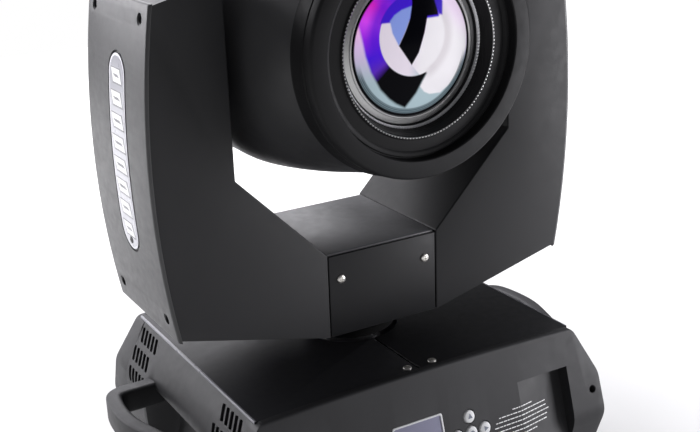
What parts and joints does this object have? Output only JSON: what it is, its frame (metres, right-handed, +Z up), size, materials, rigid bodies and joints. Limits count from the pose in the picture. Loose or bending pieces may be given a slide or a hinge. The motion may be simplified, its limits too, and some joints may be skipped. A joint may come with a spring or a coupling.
{
  "type": "moving head light",
  "caption": "Stage light with a tilting head in a panning two-arm yoke on a base with a display, buttons, carry handles and rear sockets.",
  "frame": {"origin": "middle of the footprint, on the surface that the feet stand on", "axes": "+Z up, +X to the operator's right when facing the display, the display and the lens at rest face -Y"},
  "size_m": [0.464, 0.3104, 0.5496],
  "materials": {
    "powder_black": "fine textured powder coat, satin",
    "moulded_black": "fine grained moulding",
    "shell_black": "soft satin moulding",
    "steel": "bare",
    "screw_steel": "nickel plated",
    "aluminium": "milled",
    "rubber": "matt",
    "badge_silver": "satin print",
    "button_grey": "satin",
    "display": "clear window over a lit screen",
    "board_green": "solder mask",
    "lens_glass": "coated",
    "ring_metal": "polished",
    "filter_glass": "dichroic",
    "socket_black": "smooth"
  },
  "bodies": {
    "base": {"base_plate": "powder_black", "rubber_feet": "rubber", "base_bridge": "steel", "base_top_cover_left": "powder_black", "base_top_cover_right": "powder_black", "base_front_bezel": "moulded_black", "base_rear_bezel": "moulded_black", "base_left_cover": "moulded_black", "base_right_cover": "moulded_black", "left_handle": "moulded_black", "right_handle": "moulded_black", "display_window": "display", "control_board": "board_green", "power_supply": "aluminium", "lamp_ballast": "aluminium", "power_inlet": "socket_black", "dmx_in_socket": "socket_black", "dmx_out_socket": "socket_black", "pan_tube": "steel", "pan_fixed_pulley": "aluminium", "base_screws": "screw_steel"},
    "button_up": {"button_up": "button_grey"},
    "button_down": {"button_down": "button_grey"},
    "button_left": {"button_left": "button_grey"},
    "button_right": {"button_right": "button_grey"},
    "button_enter": {"button_enter": "button_grey"},
    "yoke": {"yoke_crossbar": "powder_black", "yoke_front_panel": "powder_black", "yoke_rear_panel": "powder_black", "left_arm_frame": "powder_black", "right_arm_frame": "powder_black", "left_arm_cover": "powder_black", "right_arm_cover": "powder_black", "pan_bearing": "steel", "pan_motor": "steel", "pan_belt": "rubber", "tilt_motor": "steel", "tilt_belt": "rubber", "tilt_bearings": "steel", "arm_badges": "badge_silver", "yoke_screws": "screw_steel"},
    "pan_motor_pulley": {"pan_motor_pulley": "aluminium"},
    "tilt_motor_pulley": {"tilt_motor_pulley": "aluminium"},
    "head": {"lens_bezel": "shell_black", "head_front_shell": "shell_black", "head_rear_shell": "shell_black", "optics_chassis": "aluminium", "tilt_shafts": "steel", "tilt_pulley": "aluminium", "front_lens": "lens_glass", "lens_retaining_ring": "ring_metal", "effect_motors": "steel", "lamp_reflector": "ring_metal", "lamp": "lens_glass", "head_fan_frame": "moulded_black"},
    "focus_carriage": {"focus_carriage": "aluminium"},
    "color_wheel": {"color_wheel": "filter_glass"},
    "gobo_wheel": {"gobo_wheel": "steel"},
    "prism_arm": {"prism_arm": "lens_glass"},
    "head_fan_rotor": {"head_fan_rotor": "moulded_black"}
  },
  "joints": [
    {"name": "pan", "type": "hinge", "parent": "base", "child": "yoke", "pos_m": [0, 0, 0.16], "axis": [0, 0, 1], "range_deg": [-270, 270]},
    {"name": "tilt", "type": "hinge", "parent": "yoke", "child": "head", "pos_m": [0, 0, 0.4325], "axis": [1, 0, 0], "range_deg": [-225, 45]},
    {"name": "pan_motor_spin", "type": "hinge", "parent": "yoke", "child": "pan_motor_pulley", "pos_m": [0.104, 0, 0.195], "axis": [0, 0, 1], "range_deg": [-1216, 1216]},
    {"name": "tilt_motor_spin", "type": "hinge", "parent": "yoke", "child": "tilt_motor_pulley", "pos_m": [-0.151, 0, 0.29], "axis": [1, 0, 0], "range_deg": [-856, 172]},
    {"name": "color_wheel_spin", "type": "hinge", "parent": "head", "child": "color_wheel", "pos_m": [0.034, 0.009, 0.4325], "axis": [0, 1, 0], "continuous": true},
    {"name": "gobo_wheel_spin", "type": "hinge", "parent": "head", "child": "gobo_wheel", "pos_m": [-0.034, 0.003, 0.4325], "axis": [0, 1, 0], "continuous": true},
    {"name": "focus_slide", "type": "slide", "parent": "head", "child": "focus_carriage", "axis": [0, 1, 0], "range_m": [-0.015, 0.02]},
    {"name": "prism_swing", "type": "hinge", "parent": "head", "child": "prism_arm", "pos_m": [0.06, -0.016, 0.3825], "axis": [0, 1, 0], "range_deg": [0, 50]},
    {"name": "fan_spin", "type": "hinge", "parent": "head", "child": "head_fan_rotor", "pos_m": [0, 0.112, 0.4325], "axis": [0, 1, 0], "continuous": true},
    {"name": "up_press", "type": "slide", "parent": "base", "child": "button_up", "axis": [0, 0.9776, -0.2104], "range_m": [0, 0.001], "stiffness_N_per_m": 900},
    {"name": "down_press", "type": "slide", "parent": "base", "child": "button_down", "axis": [0, 0.9776, -0.2104], "range_m": [0, 0.001], "stiffness_N_per_m": 900},
    {"name": "left_press", "type": "slide", "parent": "base", "child": "button_left", "axis": [0, 0.9776, -0.2104], "range_m": [0, 0.001], "stiffness_N_per_m": 900},
    {"name": "right_press", "type": "slide", "parent": "base", "child": "button_right", "axis": [0, 0.9776, -0.2104], "range_m": [0, 0.001], "stiffness_N_per_m": 900},
    {"name": "enter_press", "type": "slide", "parent": "base", "child": "button_enter", "axis": [0, 0.9776, -0.2104], "range_m": [0, 0.001], "stiffness_N_per_m": 900}
  ],
  "couplings": [
    {"joint": "pan_motor_spin", "follows": "pan", "ratio": -4.5},
    {"joint": "tilt_motor_spin", "follows": "tilt", "ratio": 3.8}
  ]
}
